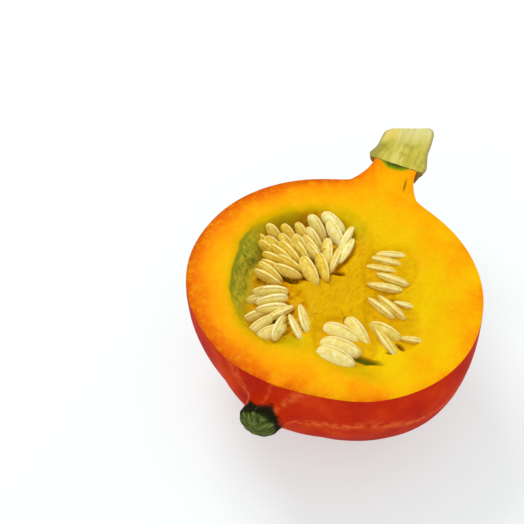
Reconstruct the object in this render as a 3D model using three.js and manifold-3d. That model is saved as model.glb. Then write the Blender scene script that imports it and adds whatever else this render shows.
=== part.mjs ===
// Half of a small orange winter squash, cut lengthwise, lying on its rind with the cut face up.
// Units are millimetres, +Y runs along the fruit towards the stem, and +Z is up. The shapes are
// worked out in fruit coordinates, where z = 0 is the cut face and x = 0 the line from the stem
// through the fruit. At the end the whole thing is moved so that its origin is on the surface
// that it rests on, under the middle of its box.
import * as THREE from "three";
import { mergeVertices } from "three/addons/utils/BufferGeometryUtils.js";
import Module from "manifold-3d";

const wasm = await Module();
wasm.setup();

// The bulb: two half ellipses that meet where the fruit is widest.
const HALF_WIDTH = 69; // half the width of the fruit
const WIDEST = -13; // where along y it is widest
const TO_NECK = 62.5; // from the widest place to the shoulder
const TO_BLOSSOM = 58; // from the widest place to the blossom end
const ROUNDNESS = 0.94; // height over width of the bulb's sections
const AXIS_DEPTH = 9.5; // the knife went this far above the core line
const DEEPENING = [45, -8]; // over this stretch of y the core line goes down to that depth
const BLEND = 7; // softness of the corners where neck and blossom button meet the bulb

// The underside leans sideways: to +x at the blossom end, and back towards the stem.
const LEAN = 0.1; // sideways shift over depth
const BACK_LEAN = -0.9; // the lean back, as a share of that
const LEAN_TURN = [-45, 5]; // over this stretch of y it goes over from one to the other
const LEAN_START = [-76, -60]; // and over these it grows from nothing
const LEAN_END = [66, 40];

// The neck that carries the stem.
const NECK_RADIUS = 9.3;
const NECK_END = 66; // where the neck ends and the stem begins
const NECK_FLARE = 17; // how much wider the neck is where it joins the bulb
const NECK_LENGTH = 26.5;
const NECK_AXIS_DEPTH = 0.7;
const NECK_ROUNDING = [25, 45]; // over this stretch of y the sections turn as high as wide

// The button at the blossom end, which lies off the middle and below the cut face.
const BUTTON_RADIUS = 8.2;
const BUTTON_FLARE = 13; // how much wider its foot is where it joins the bulb
const BUTTON_START = -76.5;
const BUTTON_FOOT = -65;
const BUTTON_END = -82;
const BUTTON_DEPTH = 22;
const BUTTON_SIDE = -9;
const BEND_DOWN = [-61, BUTTON_START]; // over this stretch of y the fruit bends down to it
const BEND_ASIDE = [-60, -78]; // and over this one to the side

// The stem: a corky stalk with a flared foot, split by the same cut.
const STEM_START = 66.3; // leaves a gap to the neck
const STEM_END = 89.5;
const STEM_FOOT = 13.9; // radius of the flared foot
const STEM_WAIST = 11.3;
const STEM_TOP = 10.7;
const STEM_LEAN = -0.05; // it leans to -x
const STEM_TOP_TILT = 0.42; // slope of its broken top across the fruit
const STEM_RIBS = 8;
const STEM_RIB_DEPTH = 0.05; // as a share of the radius
const FOOT_EDGE = 0.93; // radius at the very foot, as a share of the foot's

// Places along the stem, as shares of its length.
const FOOT_FULL = 0.12;
const WAIST_AT = 0.5;
const ABOVE_WAIST = [0.5, 1];
const TOP_ROUNDING = [0.8, 1.12];

// How finely the round forms are divided.
const BODY_STEPS = 30;
const BODY_SIDES = 44;
const HOLLOW_SIDES = 28;
const HOLLOW_RINGS = 16;
const STEM_STEPS = 10;
const STEM_SIDES = 32;
const SEED_SIDES = 6;
const SEED_RINGS = [0, 0.08, 0.3, 0.6, 0.85, 0.97, 1];

const STRAND_RADIUS = 1.1; // of the strands of pulp that hold the seeds together
const STRAND_SIDES = 5;
const STRAND_DROP = 1; // how far the strands run below the middles of the seeds

const GAP = 0.35; // between neighbouring pieces
const REST_DEPTH = 73.5; // from the cut face down to the flat spot that the fruit rests on
const FAR = 400; // larger than the fruit, for the boxes that stand for half spaces
const MERGE_WITHIN = 1e-4; // corners nearer to each other than this are one

// A seed, lying along y with its pointed end at +y.
const SEED_LENGTH = 18;
const SEED_WIDTH = 8.8;
const SEED_THICKNESS = 4.6;
const SEED_FULLNESS = 0.48; // the smaller, the blunter both ends
const SEED_TAPER = 0.8; // below 1, the widest place is nearer to the blunt end at -y

// How far seeds stray from their places in a row, in all: places and heights in millimetres,
// angles in degrees and sizes as a share.
const PLACE_SPREAD = 1;
const HEIGHT_SPREAD = 0.6;
const HEADING_SPREAD = 12;
const PITCH_SPREAD = 10;
const ROLL_SPREAD = 14;
const SIZE_SPREAD = 0.14;

// The random draw steps through all whole numbers of 32 bits.
const DRAW_FACTOR = 1664525;
const DRAW_STEP = 1013904223;
const DRAW_RANGE = 2 ** 32;

// The seeds lie in hollows. Each hollow is made of ellipsoids round points of the cut face, with
// the longer axis turned by heading, and its floor is at bedTop, which may slope along x.
// A row of seeds runs from one point to another of the cut face. Its headings say which way the
// blunt ends look, pitch how far those ends dip, roll how far the seeds stand on edge, and lift
// how high their middles lie above the floor. Angles are in degrees.
const BUNCHES = [
  {
    name: "seed_bunch_far_left",
    randomStart: 11,
    hollows: [{ at: [-24, 5], heading: 38, axes: [27.5, 20.5], depth: 19 }],
    bedTop: -10.5,
    bedSlope: 0.2,
    rows: [
      {
        from: [-37, 9],
        to: [-25, 12.6],
        count: 3,
        headings: [160, 152],
        pitch: -44,
        roll: 72,
        lift: 7,
        size: 0.88,
      },
      {
        from: [-20.8, 18.6],
        to: [-19, 11.5],
        count: 2,
        headings: [153, 144],
        pitch: -32,
        roll: 66,
        lift: 6.5,
        size: 0.9,
      },
      {
        from: [-15, 24.5],
        to: [-11.5, 17.5],
        count: 2,
        headings: [163, 139],
        pitch: -10,
        roll: 58,
        lift: 6,
        size: 0.9,
      },
      {
        from: [-34.5, 3],
        to: [-22.5, 6.4],
        count: 3,
        headings: [165, 150],
        pitch: -34,
        roll: 76,
        lift: 6.5,
        size: 0.88,
      },
      {
        from: [-39.3, 4.3],
        to: [-37, 0.4],
        count: 2,
        headings: [162, 171],
        pitch: -24,
        roll: 84,
        lift: 5.5,
        size: 0.85,
      },
      {
        from: [-30.5, -0.5],
        to: [-23.5, 4.5],
        count: 3,
        headings: [160, 144],
        pitch: 0,
        roll: 86,
        lift: 7,
        size: 0.92,
      },
      {
        from: [-31.5, -3.5],
        to: [-31.5, -14],
        count: 4,
        headings: [173, 168],
        pitch: -4,
        roll: 88,
        lift: 6,
        size: 0.85,
      },
      {
        from: [-24.5, -4.5],
        to: [-24, -8.8],
        count: 2,
        headings: [166, 174],
        pitch: 4,
        roll: 88,
        lift: 6.8,
        size: 0.88,
      },
      {
        from: [-18.5, 7],
        to: [-15, 2.5],
        count: 2,
        headings: [146, 149],
        pitch: -10,
        roll: 78,
        lift: 7.2,
        size: 0.9,
      },
      {
        from: [-13.6, -7.4],
        to: [-8.8, -3.4],
        count: 2,
        headings: [134, 131],
        pitch: -2,
        roll: 66,
        lift: 8.3,
        size: 0.95,
      },
      {
        from: [-6, 16.3],
        to: [-11.5, 7],
        count: 2,
        headings: [84, 119],
        pitch: -4,
        roll: 58,
        lift: 6.3,
        size: 0.9,
      },
      {
        from: [-2.8, 10.5],
        to: [-6, 4],
        count: 2,
        headings: [93, 98],
        pitch: 6,
        roll: 60,
        lift: 5.6,
        size: 0.9,
      },
    ],
  },
  {
    name: "seed_bunch_near_left",
    randomStart: 23,
    hollows: [
      { at: [-24, -29.5], heading: -48, axes: [23.5, 16.5], depth: 15 },
      { at: [-35.5, -13], heading: 96, axes: [24, 12], depth: 14 },
    ],
    bedTop: -7,
    bedSlope: 0.2,
    rows: [
      {
        from: [-27, -22],
        to: [-22.5, -30.6],
        count: 3,
        headings: [20, 31],
        pitch: -4,
        roll: -84,
        lift: 3.5,
        size: 0.95,
      },
      {
        from: [-19, -33.2],
        to: [-14.8, -39.2],
        count: 2,
        headings: [44, 266],
        pitch: -8,
        roll: 68,
        lift: 3,
        size: 0.95,
      },
      {
        from: [-24, -41],
        to: [-17.5, -43.5],
        count: 2,
        headings: [240, 214],
        pitch: 26,
        roll: 50,
        lift: 3,
        size: 0.9,
      },
      {
        from: [-8.5, -37.5],
        to: [-6.6, -31.8],
        count: 2,
        headings: [309, 311],
        pitch: 6,
        roll: 62,
        lift: 3.3,
        size: 0.88,
      },
      {
        from: [-30, -26],
        to: [-27.5, -34.5],
        count: 2,
        headings: [204, 222],
        pitch: 10,
        roll: 76,
        lift: 0.5,
        size: 0.85,
      },
    ],
  },
  {
    name: "seed_bunch_near_right",
    randomStart: 37,
    hollows: [{ at: [15, -36.5], heading: -12, axes: [16, 12.5], depth: 8 }],
    bedTop: -2.8,
    bedSlope: 0,
    rows: [
      {
        from: [18.4, -28.8],
        to: [12, -32.2],
        count: 2,
        headings: [152, 174],
        pitch: -4,
        roll: 52,
        lift: 0.9,
        size: 1.05,
      },
      {
        from: [14.4, -39.9],
        to: [14.6, -45],
        count: 2,
        headings: [185, 173],
        pitch: 0,
        roll: 42,
        lift: 1.3,
        size: 1.16,
      },
    ],
  },
  {
    name: "seed_bunch_right",
    randomStart: 41,
    hollows: [{ at: [31, -18], heading: -40, axes: [16.5, 11.5], depth: 8 }],
    bedTop: -2.8,
    bedSlope: 0,
    rows: [
      {
        from: [23.2, -12.8],
        to: [27.6, -10.2],
        count: 2,
        headings: [-25, -28],
        pitch: 4,
        roll: 72,
        lift: 1.2,
      },
      {
        from: [29.8, -24],
        to: [32, -29],
        count: 2,
        headings: [167, 329],
        pitch: 2,
        roll: 62,
        lift: 1.3,
        size: 1.05,
      },
      {
        from: [33, -5.8],
        to: [42.5, -22.5],
        count: 2,
        headings: [14, 20],
        pitch: 14,
        roll: 50,
        lift: 0.6,
        size: 0.8,
      },
    ],
  },
  {
    name: "seed_bunch_far_right",
    randomStart: 53,
    hollows: [{ at: [20.5, 8], heading: 72, axes: [15, 11.5], depth: 8 }],
    bedTop: -2.8,
    bedSlope: 0,
    rows: [
      { from: [22.4, 4.8], to: [21, -1], count: 2, headings: [6, 12], pitch: 2, roll: 66, lift: 1.4 },
      { from: [15.5, 18], to: [14.5, 8.5], count: 3, headings: [16, 12], pitch: 6, roll: 62, lift: -0.4 },
    ],
  },
];

const FLESH = new THREE.MeshStandardMaterial({ color: "#f08a1c", roughness: 0.45, metalness: 0 });
const CORK = new THREE.MeshStandardMaterial({ color: "#c9c06a", roughness: 0.8, metalness: 0 });
const SEED = new THREE.MeshStandardMaterial({ color: "#efd889", roughness: 0.5, metalness: 0 });

const radians = THREE.MathUtils.degToRad;
const mix = THREE.MathUtils.lerp;

// Goes smoothly from 0 at a to 1 at b, also where b is the smaller of the two.
function ease(a, b, x) {
  const t = THREE.MathUtils.clamp((x - a) / (b - a), 0, 1);
  return t * t * (3 - 2 * t);
}

// The larger of two lengths, with the corner between them rounded.
function softMax(a, b) {
  return (a + b + Math.hypot(a - b, BLEND)) / 2;
}

// Half the width of the fruit at a place along it.
function girth(y) {
  const side = y > WIDEST ? TO_NECK : TO_BLOSSOM;
  const bulb = HALF_WIDTH * Math.sqrt(Math.max(0, 1 - ((y - WIDEST) / side) ** 2));
  if (y > WIDEST) {
    const along = THREE.MathUtils.clamp((NECK_END - y) / NECK_LENGTH, 0, 1);
    const neck = (NECK_RADIUS + NECK_FLARE * along ** 2) * ease(WIDEST, WIDEST + NECK_LENGTH, y);
    return softMax(bulb, neck);
  }
  const tip = Math.max(0, (BUTTON_START - y) / (BUTTON_START - BUTTON_END));
  const foot = THREE.MathUtils.clamp((y - BUTTON_START) / (BUTTON_FOOT - BUTTON_START), 0, 1);
  const button = BUTTON_RADIUS * Math.sqrt(Math.max(0, 1 - tip ** 2)) + BUTTON_FLARE * foot ** 2;
  return softMax(bulb, button * ease(WIDEST, BUTTON_FOOT, y));
}

// Moves a point of the straight round fruit to its place on the real one: flattened a little,
// with its core line below the cut, the button off to the side, and the underside leaning.
function bendFruit(p) {
  const y = p.y;
  const toButton = ease(...BEND_DOWN, y);
  const round = mix(ROUNDNESS, 1, Math.max(ease(...NECK_ROUNDING, y), toButton));
  const core = mix(NECK_AXIS_DEPTH, AXIS_DEPTH, ease(...DEEPENING, y));
  p.z = p.z * round - mix(core, BUTTON_DEPTH, toButton);
  const ends = ease(...LEAN_START, y) * ease(...LEAN_END, y);
  const lean = LEAN * mix(1, BACK_LEAN, ease(...LEAN_TURN, y)) * ends;
  p.x += BUTTON_SIDE * ease(...BEND_ASIDE, y) + lean * Math.max(0, -p.z);
}

// Moves a point of the straight round stalk: ribbed, leaning, and with a slanting top.
function bendStem(p) {
  const up = (p.y - STEM_START) / (STEM_END - STEM_START);
  const rib = 1 + STEM_RIB_DEPTH * Math.cos(STEM_RIBS * Math.atan2(p.z, p.x));
  p.x = p.x * rib;
  p.z = p.z * rib - NECK_AXIS_DEPTH;
  p.y += p.x * STEM_TOP_TILT * up;
  p.x += STEM_LEAN * (p.y - STEM_START);
}

// Moves every vertex of a geometry by a function.
function warp(geometry, move) {
  const place = geometry.attributes.position;
  const p = new THREE.Vector3();
  for (let i = 0; i < place.count; i++) {
    p.fromBufferAttribute(place, i);
    move(p);
    place.setXYZ(i, p.x, p.y, p.z);
  }
  return geometry;
}

// A closed three.js geometry as a solid for joining and cutting.
function solidOf(geometry) {
  const bare = new THREE.BufferGeometry().setAttribute("position", geometry.attributes.position);
  const merged = mergeVertices(bare.setIndex(geometry.index), MERGE_WITHIN);
  const corners = merged.index.array;
  const faces = [];
  for (let i = 0; i < corners.length; i += 3) {
    const [a, b, c] = corners.slice(i, i + 3);
    if (a !== b && b !== c && c !== a) faces.push(a, b, c);
  }
  return new wasm.Manifold(
    new wasm.Mesh({
      numProp: 3,
      vertProperties: new Float32Array(merged.attributes.position.array),
      triVerts: new Uint32Array(faces),
    }),
  );
}

// A solid as a named mesh.
function meshOf(solid, name, material) {
  const { vertProperties, triVerts } = solid.getMesh();
  const geometry = new THREE.BufferGeometry()
    .setAttribute("position", new THREE.BufferAttribute(vertProperties, 3))
    .setIndex(new THREE.BufferAttribute(triVerts, 1));
  geometry.computeVertexNormals();
  const mesh = new THREE.Mesh(geometry, material);
  mesh.name = name;
  return mesh;
}

// Everything above a height, or below it.
function halfSpace(height, above) {
  const side = above ? 1 : -1;
  const box = new THREE.BoxGeometry(FAR, FAR, FAR).translate(0, 0, height + (side * FAR) / 2);
  return solidOf(box);
}

// The two ends of a turned profile lie on the axis, and its steps crowd towards its ends, where
// it curves most.
function turned(start, end, steps, sides, radiusAt) {
  const profile = [new THREE.Vector2(0, start)];
  for (let i = 0; i <= steps; i++) {
    const y = mix(start, end, (1 - Math.cos((Math.PI * i) / steps)) / 2);
    profile.push(new THREE.Vector2(radiusAt(y), y));
  }
  profile.push(new THREE.Vector2(0, end));
  return new THREE.LatheGeometry(profile, sides);
}

// Everything above the floor of a bunch's hollow, raised by a little.
function aboveFloor(bunch, raise) {
  const [x, y] = bunch.hollows[0].at;
  const box = new THREE.BoxGeometry(FAR, FAR, FAR)
    .translate(0, 0, FAR / 2)
    .rotateY(-Math.atan(bunch.bedSlope))
    .translate(x, y, bunch.bedTop + raise);
  return solidOf(box);
}

// The room in a bunch's hollow, made smaller all round by an inset.
function hollowSolid(bunch, inset) {
  const balls = bunch.hollows.map(({ at, heading, axes, depth }) => {
    const ball = new THREE.SphereGeometry(1, HOLLOW_SIDES, HOLLOW_RINGS)
      .rotateX(Math.PI / 2)
      .scale(axes[0] - inset, axes[1] - inset, depth - inset)
      .rotateZ(radians(heading))
      .translate(at[0], at[1], 0);
    return solidOf(ball);
  });
  return balls.reduce((all, ball) => all.add(ball)).intersect(aboveFloor(bunch, inset));
}

// Rind, flesh and the firm pulp grown to it are one piece, with hollows where the seeds lie.
function fruitSolid() {
  const round = turned(BUTTON_END, NECK_END, BODY_STEPS, BODY_SIDES, girth);
  let fruit = solidOf(warp(round, bendFruit));
  fruit = fruit.subtract(halfSpace(0, true)).subtract(halfSpace(-REST_DEPTH, false));
  for (const bunch of BUNCHES) fruit = fruit.subtract(hollowSolid(bunch, 0));
  return fruit;
}

function stemRadius(y) {
  const up = (y - STEM_START) / (STEM_END - STEM_START);
  const lower = mix(STEM_FOOT, STEM_WAIST, ease(0, WAIST_AT, up));
  const side = mix(lower, STEM_TOP, ease(...ABOVE_WAIST, up));
  const rounded = Math.sqrt(Math.max(0, 1 - ease(...TOP_ROUNDING, up) ** 2));
  return side * mix(FOOT_EDGE, 1, ease(0, FOOT_FULL, up)) * rounded;
}

function stemSolid() {
  const stalk = turned(STEM_START, STEM_END, STEM_STEPS, STEM_SIDES, stemRadius);
  return solidOf(warp(stalk, bendStem)).subtract(halfSpace(0, true));
}

// A flat drop: broad and round at one end, pointed at the other.
function seedGeometry(size) {
  const profile = SEED_RINGS.map((t) => {
    const width = Math.sin(Math.PI * t ** SEED_TAPER) ** SEED_FULLNESS;
    return new THREE.Vector2((width * SEED_WIDTH) / 2, (t - 0.5) * SEED_LENGTH);
  });
  profile[0].x = 0;
  profile[profile.length - 1].x = 0;
  const drop = new THREE.LatheGeometry(profile, SEED_SIDES);
  return drop.scale(size, size, (size * SEED_THICKNESS) / SEED_WIDTH);
}

// A random draw between -0.5 and 0.5 that gives the same numbers on every run.
function randomFrom(start) {
  let state = start;
  return () => {
    state = (Math.imul(state, DRAW_FACTOR) + DRAW_STEP) >>> 0;
    return state / DRAW_RANGE - 0.5;
  };
}

// Height of the floor of a bunch's hollow at a place across the fruit.
function floorHeight(bunch, x) {
  return bunch.bedTop + bunch.bedSlope * (x - bunch.hollows[0].at[0]);
}

// The place of a row's strand, from 0 at its first seed to 1 at its last.
function strandPoint(bunch, row, t) {
  const x = mix(row.from[0], row.to[0], t);
  const y = mix(row.from[1], row.to[1], t);
  return new THREE.Vector3(x, y, floorHeight(bunch, x) + row.lift - STRAND_DROP);
}

// A straight strand of pulp from one point to another.
function strandSolid(from, to) {
  const along = new THREE.Vector3().subVectors(to, from);
  const turn = new THREE.Quaternion().setFromUnitVectors(
    new THREE.Vector3(0, 1, 0),
    along.clone().normalize(),
  );
  const middle = new THREE.Vector3().addVectors(from, to).divideScalar(2);
  const strand = new THREE.CylinderGeometry(
    STRAND_RADIUS,
    STRAND_RADIUS,
    along.length() + STRAND_RADIUS,
    STRAND_SIDES,
  );
  return solidOf(strand.applyQuaternion(turn).translate(middle.x, middle.y, middle.z));
}

// One strand runs under each row of seeds, and others join the middles of the rows.
function strandSolids(bunch) {
  const strands = bunch.rows.map((row) =>
    strandSolid(strandPoint(bunch, row, 0), strandPoint(bunch, row, 1)),
  );
  const middles = bunch.rows.map((row) => strandPoint(bunch, row, 0.5));
  for (let i = 1; i < middles.length; i++) strands.push(strandSolid(middles[i - 1], middles[i]));
  return strands;
}

// The seeds of one bunch, each turned and moved to its place.
function seedSolids(bunch) {
  const random = randomFrom(bunch.randomStart);
  const seeds = [];
  for (const row of bunch.rows) {
    for (let i = 0; i < row.count; i++) {
      const t = row.count > 1 ? i / (row.count - 1) : 0.5;
      const x = mix(row.from[0], row.to[0], t) + PLACE_SPREAD * random();
      const y = mix(row.from[1], row.to[1], t) + PLACE_SPREAD * random();
      const heading = mix(row.headings[0], row.headings[1], t) + HEADING_SPREAD * random();
      const pitch = row.pitch + PITCH_SPREAD * random();
      const roll = row.roll + ROLL_SPREAD * random();
      const seed = seedGeometry((row.size ?? 1) * (1 + SIZE_SPREAD * random()))
        .rotateY(radians(roll))
        .rotateX(radians(pitch))
        .rotateZ(radians(heading + 90))
        .translate(x, y, floorHeight(bunch, x) + row.lift + HEIGHT_SPREAD * random());
      seeds.push(solidOf(seed));
    }
  }
  return seeds;
}

// Seeds and strands joined, without what would reach into the fruit or into another bunch.
function bunchSolid(bunch, others) {
  const open = hollowSolid(bunch, GAP).add(halfSpace(GAP, true));
  const parts = [...strandSolids(bunch), ...seedSolids(bunch)];
  let whole = parts.reduce((all, part) => all.add(part)).intersect(open);
  for (const other of others) whole = whole.subtract(hollowSolid(other, -GAP));
  const pieces = whole.decompose().sort((a, b) => b.volume() - a.volume());
  return pieces[0];
}

const squash = new THREE.Group();
squash.add(meshOf(fruitSolid(), "fruit_half", FLESH));
squash.add(meshOf(stemSolid(), "stem_half", CORK));
BUNCHES.forEach((bunch, i) => {
  squash.add(meshOf(bunchSolid(bunch, BUNCHES.slice(0, i)), bunch.name, SEED));
});

const box = new THREE.Box3().setFromObject(squash);
const middle = box.getCenter(new THREE.Vector3());
squash.position.set(-middle.x, -middle.y, -box.min.z);

const group = new THREE.Group();
group.add(squash);
export default group;
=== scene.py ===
# The looks of half a small orange winter squash, cut lengthwise, with its stem, button and seeds.
# Shapes are worked out in millimetres in fruit coordinates: y runs along the fruit towards the
# stem, z = 0 is the cut face, and x = 0 is the line from the stem through the fruit. They are
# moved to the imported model's frame, in metres, when a mesh is made.
import math

import bpy
import numpy as np
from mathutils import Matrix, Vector, noise


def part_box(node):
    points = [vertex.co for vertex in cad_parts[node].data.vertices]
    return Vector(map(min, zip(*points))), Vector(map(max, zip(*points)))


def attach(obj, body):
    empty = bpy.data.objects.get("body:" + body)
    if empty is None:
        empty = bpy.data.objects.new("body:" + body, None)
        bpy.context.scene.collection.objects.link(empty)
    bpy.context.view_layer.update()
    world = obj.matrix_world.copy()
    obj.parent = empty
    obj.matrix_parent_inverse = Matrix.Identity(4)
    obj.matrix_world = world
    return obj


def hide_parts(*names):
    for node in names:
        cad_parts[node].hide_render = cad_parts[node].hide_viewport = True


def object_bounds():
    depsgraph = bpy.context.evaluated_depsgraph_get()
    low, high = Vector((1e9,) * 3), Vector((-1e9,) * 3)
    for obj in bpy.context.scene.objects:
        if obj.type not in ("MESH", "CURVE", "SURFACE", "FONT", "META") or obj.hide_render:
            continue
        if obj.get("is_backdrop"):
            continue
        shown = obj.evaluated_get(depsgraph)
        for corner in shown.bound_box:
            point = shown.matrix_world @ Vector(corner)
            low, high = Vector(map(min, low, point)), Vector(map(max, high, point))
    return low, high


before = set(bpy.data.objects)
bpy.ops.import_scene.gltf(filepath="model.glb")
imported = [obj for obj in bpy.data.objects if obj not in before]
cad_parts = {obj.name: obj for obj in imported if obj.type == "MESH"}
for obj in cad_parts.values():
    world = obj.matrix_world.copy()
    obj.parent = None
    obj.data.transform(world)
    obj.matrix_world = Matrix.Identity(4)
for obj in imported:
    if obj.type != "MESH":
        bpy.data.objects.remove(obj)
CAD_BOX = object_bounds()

MM = 0.001

# The bulb: two half ellipses that meet where the fruit is widest.
HALF_WIDTH = 69
WIDEST = -13
TO_NECK = 62.5
TO_BLOSSOM = 58
ROUNDNESS = 0.94
AXIS_DEPTH = 9.5
DEEPENING = (45, -8)
BLEND = 7
REST_DEPTH = 73.5

# The underside leans sideways.
LEAN = 0.1
BACK_LEAN = -0.9
LEAN_TURN = (-45, 5)
LEAN_START = (-76, -60)
LEAN_END = (66, 40)

# The neck.
NECK_RADIUS = 9.3
NECK_END = 66
NECK_FLARE = 17
NECK_LENGTH = 26.5
NECK_AXIS_DEPTH = 0.7
NECK_ROUNDING = (25, 45)

# The button at the blossom end.
BUTTON_RADIUS = 8.2
BUTTON_FLARE = 13
BUTTON_START = -76.5
BUTTON_FOOT = -65
BUTTON_END = -82
BUTTON_DEPTH = 22
BUTTON_SIDE = -9
BEND_DOWN = (-61, BUTTON_START)
BEND_ASIDE = (-60, -78)

# The stem.
STEM_START = 66.3
STEM_END = 89.5
STEM_FOOT = 13.9
STEM_WAIST = 11.3
STEM_TOP = 10.7
STEM_LEAN = -0.05
STEM_TOP_TILT = 0.42
STEM_RIBS = 8
STEM_RIB_DEPTH = 0.05
FOOT_EDGE = 0.93
FOOT_FULL = 0.12
WAIST_AT = 0.5
ABOVE_WAIST = (0.5, 1)
TOP_ROUNDING = (0.8, 1.12)

# A seed, lying along y with its pointed end at +y.
SEED_LENGTH = 18
SEED_WIDTH = 8.8
SEED_THICKNESS = 4.6
SEED_FULLNESS = 0.48
SEED_TAPER = 0.8
PLACE_SPREAD = 1
HEIGHT_SPREAD = 0.6
HEADING_SPREAD = 12
PITCH_SPREAD = 10
ROLL_SPREAD = 14
SIZE_SPREAD = 0.14

# The random draw steps through all whole numbers of 32 bits.
DRAW_FACTOR = 1664525
DRAW_STEP = 1013904223
DRAW_RANGE = 2**32

# Each layer of the noise has lumps so much smaller than the last, and is weaker by this power.
NOISE_FINER = 2.0
NOISE_WEAKER = 0.8

# Rows of seeds run from one point of the cut face to another. Headings say which way the blunt
# ends look, pitch how far those ends dip, roll how far the seeds stand on edge, and lift how
# high their middles lie above the floor of the hollow. Rise is how far the pulp comes up round
# the seeds above that floor, swell how much further it comes up towards the middle of the
# fruit, and tone runs from 0, yellow, to 1, cream, with cream added for the seeds at the right.
# Fibres is how many fibres of pulp there are, and green the largest share of green in them.
BUNCHES = [
    dict(
        name="far_left", start=11, bed=-10.5, slope=0.2, rise=0.8, swell=3.6, tone=0.2,
        cream=0.7, fibres=28, green=0.4,
        hollows=[dict(at=(-24, 5), heading=38, axes=(27.5, 20.5), depth=19)],
        rows=[
            dict(line=((-37, 9), (-25, 12.6)),
                 count=3, headings=(160, 152), pitch=-44, roll=72, lift=7, size=0.88),
            dict(line=((-20.8, 18.6), (-19, 11.5)),
                 count=2, headings=(153, 144), pitch=-32, roll=66, lift=6.5, size=0.9),
            dict(line=((-15, 24.5), (-11.5, 17.5)),
                 count=2, headings=(163, 139), pitch=-10, roll=58, lift=6, size=0.9),
            dict(line=((-34.5, 3), (-22.5, 6.4)),
                 count=3, headings=(165, 150), pitch=-34, roll=76, lift=6.5, size=0.88),
            dict(line=((-39.3, 4.3), (-37, 0.4)),
                 count=2, headings=(162, 171), pitch=-24, roll=84, lift=5.5, size=0.85),
            dict(line=((-30.5, -0.5), (-23.5, 4.5)),
                 count=3, headings=(160, 144), pitch=0, roll=86, lift=7, size=0.92),
            dict(line=((-31.5, -3.5), (-31.5, -14)),
                 count=4, headings=(173, 168), pitch=-4, roll=88, lift=6, size=0.85),
            dict(line=((-24.5, -4.5), (-24, -8.8)),
                 count=2, headings=(166, 174), pitch=4, roll=88, lift=6.8, size=0.88),
            dict(line=((-18.5, 7), (-15, 2.5)),
                 count=2, headings=(146, 149), pitch=-10, roll=78, lift=7.2, size=0.9),
            dict(line=((-13.6, -7.4), (-8.8, -3.4)),
                 count=2, headings=(134, 131), pitch=-2, roll=66, lift=8.3, size=0.95),
            dict(line=((-6, 16.3), (-11.5, 7)),
                 count=2, headings=(84, 119), pitch=-4, roll=58, lift=6.3, size=0.9),
            dict(line=((-2.8, 10.5), (-6, 4)),
                 count=2, headings=(93, 98), pitch=6, roll=60, lift=5.6, size=0.9),
        ],
    ),
    dict(
        name="near_left", start=23, bed=-7, slope=0.2, rise=0.6, swell=2.4, tone=0.75,
        fibres=20, green=0.3,
        hollows=[
            dict(at=(-24, -29.5), heading=-48, axes=(23.5, 16.5), depth=15),
            dict(at=(-35.5, -13), heading=96, axes=(24, 12), depth=14),
        ],
        rows=[
            dict(line=((-27, -22), (-22.5, -30.6)),
                 count=3, headings=(20, 31), pitch=-4, roll=-84, lift=3.5, size=0.95),
            dict(line=((-19, -33.2), (-14.8, -39.2)),
                 count=2, headings=(44, 266), pitch=-8, roll=68, lift=3, size=0.95),
            dict(line=((-24, -41), (-17.5, -43.5)),
                 count=2, headings=(240, 214), pitch=26, roll=50, lift=3, size=0.9),
            dict(line=((-8.5, -37.5), (-6.6, -31.8)),
                 count=2, headings=(309, 311), pitch=6, roll=62, lift=3.3, size=0.88),
            dict(line=((-30, -26), (-27.5, -34.5)),
                 count=2, headings=(204, 222), pitch=10, roll=76, lift=0.5, size=0.85),
        ],
    ),
    dict(
        name="near_right", start=37, bed=-2.8, slope=0, rise=2.2, swell=0, tone=0.74,
        hollows=[dict(at=(15, -36.5), heading=-12, axes=(16, 12.5), depth=8)],
        rows=[
            dict(line=((18.4, -28.8), (12, -32.2)),
                 count=2, headings=(152, 174), pitch=-4, roll=52, lift=0.9, size=1.05),
            dict(line=((14.4, -39.9), (14.6, -45)),
                 count=2, headings=(185, 173), pitch=0, roll=42, lift=1.3, size=1.16),
        ],
    ),
    dict(
        name="right", start=41, bed=-2.8, slope=0, rise=2.4, swell=0, tone=0.45,
        hollows=[dict(at=(31, -18), heading=-40, axes=(16.5, 11.5), depth=8)],
        rows=[
            dict(line=((23.2, -12.8), (27.6, -10.2)),
                 count=2, headings=(-25, -28), pitch=4, roll=72, lift=1.2),
            dict(line=((29.8, -24), (32, -29)),
                 count=2, headings=(167, 329), pitch=2, roll=62, lift=1.3, size=1.05),
            dict(line=((33, -5.8), (42.5, -22.5)),
                 count=2, headings=(14, 20), pitch=14, roll=50, lift=0.6, size=0.8),
        ],
    ),
    dict(
        name="far_right", start=53, bed=-2.8, slope=0, rise=2.5, swell=0, tone=0.55,
        hollows=[dict(at=(20.5, 8), heading=72, axes=(15, 11.5), depth=8)],
        rows=[
            dict(line=((22.4, 4.8), (21, -1)),
                 count=2, headings=(6, 12), pitch=2, roll=66, lift=1.4),
            dict(line=((15.5, 18), (14.5, 8.5)),
                 count=3, headings=(16, 12), pitch=6, roll=62, lift=-0.4),
        ],
    ),
]

# How the look of single seeds strays: dents, the groove near the edge, and patches of cream.
SEED_SCALE = 0.965  # keeps the rounder seeds within the solids
SEED_DENTS = 0.03
SEED_DENT_SIZE = 4
SEED_NOISE_STEP = 40  # how far apart the dents of two seeds are read in the noise
GROOVE_AT = 0.84
GROOVE_WIDTH = 0.08
GROOVE_DEPTH = 0.2
TONE_SPREAD = 0.35
TONE_PATCH = 9
CREAM_SLOPE = 0.6  # the creamy seeds begin at a line with this slope
CREAMY_FROM = (-6, 6)

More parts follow.
